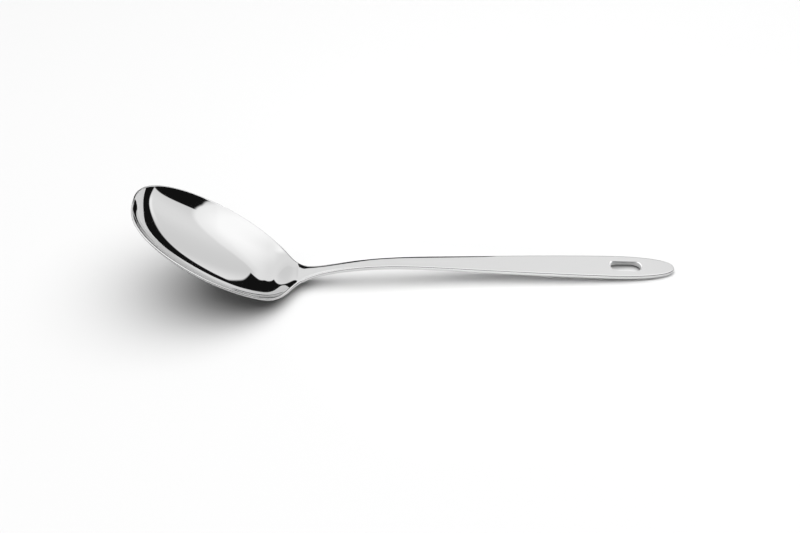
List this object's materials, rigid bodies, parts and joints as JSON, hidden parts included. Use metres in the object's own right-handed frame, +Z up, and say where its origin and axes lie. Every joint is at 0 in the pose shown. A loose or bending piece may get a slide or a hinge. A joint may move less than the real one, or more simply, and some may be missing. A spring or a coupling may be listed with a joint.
{
  "type": "serving spoon",
  "caption": "Serving spoon with an oval bowl, a curved neck and a long flat handle that widens to a rounded end with a hanging slot.",
  "frame": {"origin": "on the table, under the middle of the spoon's length and width", "axes": "+X along the spoon from the tip of the bowl to the end of the handle, +Y across it, +Z up; the spoon lies on its bowl and the end of its handle"},
  "size_m": [0.32, 0.0798, 0.0613],
  "materials": {
    "polished_steel": "mirror polished"
  },
  "bodies": {
    "root": {"bowl": "polished_steel", "handle": "polished_steel"}
  },
  "joints": []
}
